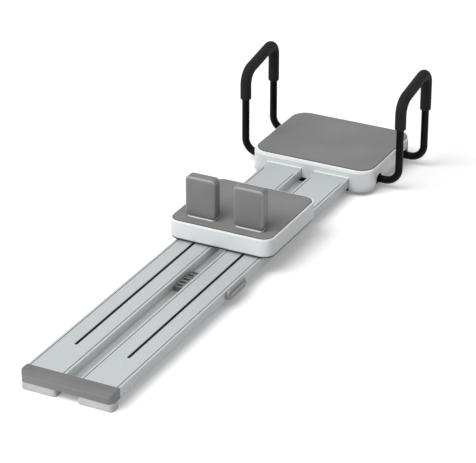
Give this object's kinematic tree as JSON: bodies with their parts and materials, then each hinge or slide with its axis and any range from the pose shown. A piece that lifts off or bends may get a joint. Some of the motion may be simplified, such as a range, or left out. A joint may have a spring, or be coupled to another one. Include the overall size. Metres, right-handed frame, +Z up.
{
  "type": "pilates reformer board",
  "caption": "Low folding pilates reformer board: slotted rails, a rolling carriage with shoulder rests, and a fixed platform with foam-covered hand loops.",
  "frame": {"origin": "on the floor, under the middle of the whole board", "axes": "+X across the board to the right seen from the low end, +Y along the rails towards the platform, +Z up"},
  "size_m": [0.6086, 1.957, 0.3677],
  "materials": {
    "rail_metal": "satin anodised, fine speckle",
    "white_plastic": "moulded, soft gloss",
    "white_trim": "moulded, soft gloss",
    "grey_cap": "moulded, fine grain",
    "hinge_grey": "powder coated",
    "grey_mat": "matt sheet with fine grain",
    "grey_pad": "matt moulded skin over firm foam",
    "black_tube": "black powder coat",
    "black_foam": "closed-cell foam",
    "black_rubber": "plain",
    "roller_grey": "turned plastic",
    "bright_steel": "turned and polished",
    "plate_steel": "zinc plated",
    "dark_plastic": "moulded"
  },
  "bodies": {
    "frame": {"back_rail_left": "rail_metal", "back_rail_right": "rail_metal", "back_hinge_leaf": "hinge_grey", "hinge_pin": "bright_steel", "middle_foot_left": "dark_plastic", "middle_foot_right": "dark_plastic", "side_plate": "hinge_grey", "back_stop_left": "black_rubber", "back_stop_right": "black_rubber", "back_screws": "bright_steel", "platform_shell": "white_plastic", "platform_mat": "grey_mat", "platform_base": "dark_plastic", "platform_feet": "black_rubber", "rail_clamp": "dark_plastic", "handle_socket_left": "dark_plastic", "handle_socket_right": "dark_plastic", "platform_screws": "bright_steel"},
    "front_half": {"front_rail_left": "rail_metal", "front_rail_right": "rail_metal", "front_cap": "grey_cap", "front_foot_left": "white_plastic", "front_foot_right": "white_plastic", "front_foot_pads": "black_rubber", "front_hinge_leaf": "hinge_grey", "front_stop_left": "black_rubber", "front_stop_right": "black_rubber", "front_screws": "bright_steel"},
    "carriage": {"carriage_shell": "white_plastic", "carriage_mat": "grey_mat", "carriage_base": "white_plastic", "carriage_screws": "bright_steel", "bracket_1": "plate_steel", "bracket_2": "plate_steel", "bracket_3": "plate_steel", "bracket_4": "plate_steel", "axle_1": "bright_steel", "axle_2": "bright_steel", "axle_3": "bright_steel", "axle_4": "bright_steel", "rest_socket_left": "dark_plastic", "rest_socket_right": "dark_plastic"},
    "rollers_1": {"roller_1": "roller_grey"},
    "rollers_2": {"roller_2": "roller_grey"},
    "rollers_3": {"roller_3": "roller_grey"},
    "rollers_4": {"roller_4": "roller_grey"},
    "rest_left": {"rest_posts_left": "bright_steel", "rest_plate_left": "white_trim", "rest_pad_left": "grey_pad"},
    "handle_left": {"handle_tube_left": "black_tube", "handle_grip_left": "black_foam"},
    "rest_right": {"rest_posts_right": "bright_steel", "rest_plate_right": "white_trim", "rest_pad_right": "grey_pad"},
    "handle_right": {"handle_tube_right": "black_tube", "handle_grip_right": "black_foam"}
  },
  "joints": [
    {"name": "fold", "type": "hinge", "parent": "frame", "child": "front_half", "pos_m": [0, -0.2375, 0.012], "axis": [1, 0, 0], "range_deg": [0, 180]},
    {"name": "carriage_roll", "type": "slide", "parent": "frame", "child": "carriage", "axis": [0, 1, 0], "range_m": [-0.762, 0.163]},
    {"name": "roller_spin_1", "type": "hinge", "parent": "carriage", "child": "rollers_1", "pos_m": [-0.0865, -0.0015, 0.0415], "axis": [1, 0, 0], "continuous": true},
    {"name": "roller_spin_2", "type": "hinge", "parent": "carriage", "child": "rollers_2", "pos_m": [0.0865, -0.0015, 0.0415], "axis": [1, 0, 0], "continuous": true},
    {"name": "roller_spin_3", "type": "hinge", "parent": "carriage", "child": "rollers_3", "pos_m": [-0.0865, 0.2285, 0.0415], "axis": [1, 0, 0], "continuous": true},
    {"name": "roller_spin_4", "type": "hinge", "parent": "carriage", "child": "rollers_4", "pos_m": [0.0865, 0.2285, 0.0415], "axis": [1, 0, 0], "continuous": true},
    {"name": "rest_lift_left", "type": "slide", "parent": "carriage", "child": "rest_left", "axis": [0, 0, 1], "range_m": [0, 0.028]},
    {"name": "rest_lift_right", "type": "slide", "parent": "carriage", "child": "rest_right", "axis": [0, 0, 1], "range_m": [0, 0.028]},
    {"name": "handle_out_left", "type": "slide", "parent": "frame", "child": "handle_left", "axis": [-1, 0, 0], "range_m": [0, 0.06]},
    {"name": "handle_out_right", "type": "slide", "parent": "frame", "child": "handle_right", "axis": [1, 0, 0], "range_m": [0, 0.06]}
  ],
  "couplings": [
    {"joint": "roller_spin_1", "follows": "carriage_roll", "rad_per_m": -80.645},
    {"joint": "roller_spin_2", "follows": "carriage_roll", "rad_per_m": -80.645},
    {"joint": "roller_spin_3", "follows": "carriage_roll", "rad_per_m": -80.645},
    {"joint": "roller_spin_4", "follows": "carriage_roll", "rad_per_m": -80.645}
  ]
}
